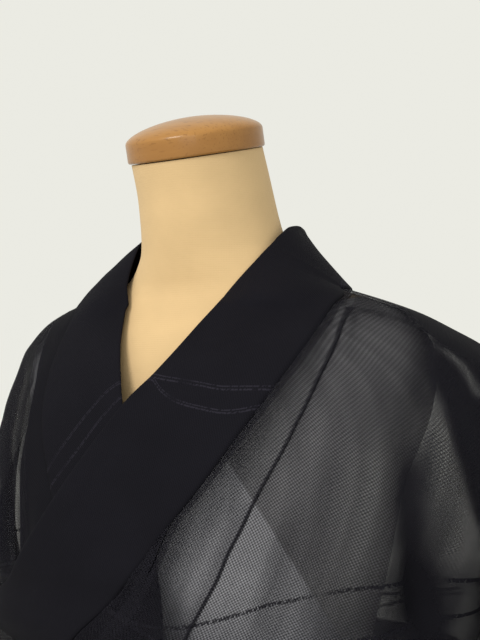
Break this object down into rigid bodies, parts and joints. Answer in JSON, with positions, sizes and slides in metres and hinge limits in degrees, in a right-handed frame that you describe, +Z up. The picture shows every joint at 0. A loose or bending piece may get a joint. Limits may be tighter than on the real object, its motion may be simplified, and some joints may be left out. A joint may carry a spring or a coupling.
{
  "type": "summer kimono on a dress form",
  "caption": "Sheer dark unlined summer kimono, left front over right, worn by a limbless dress form with a neck cap, a pole and a round foot.",
  "frame": {"origin": "middle of the stand foot's flat underside, on the floor", "axes": "+Z up, -Y the way the wearer faces, +X the wearer's left"},
  "size_m": [0.7653, 0.34, 1.4863],
  "materials": {
    "gauze": "sheer black gauze weave, faint violet sheen, double and opaque in the collar",
    "tie": "plain closely woven black tie",
    "cover": "smooth beige knitted cover, matt",
    "wood": "varnished beech, warm brown, glossy",
    "foot_wood": "varnished beech, warm brown, satin",
    "metal": "satin steel tube and flange"
  },
  "bodies": {
    "root": {"body_panel_left": "gauze", "body_panel_right": "gauze", "front_gore_left": "gauze", "front_gore_right": "gauze", "sleeve_left": "gauze", "sleeve_right": "gauze", "collar": "gauze", "waist_tie": "tie", "form_body": "cover", "neck_cap": "wood", "pole": "metal", "pole_flange": "metal", "stand_foot": "foot_wood"}
  },
  "joints": []
}
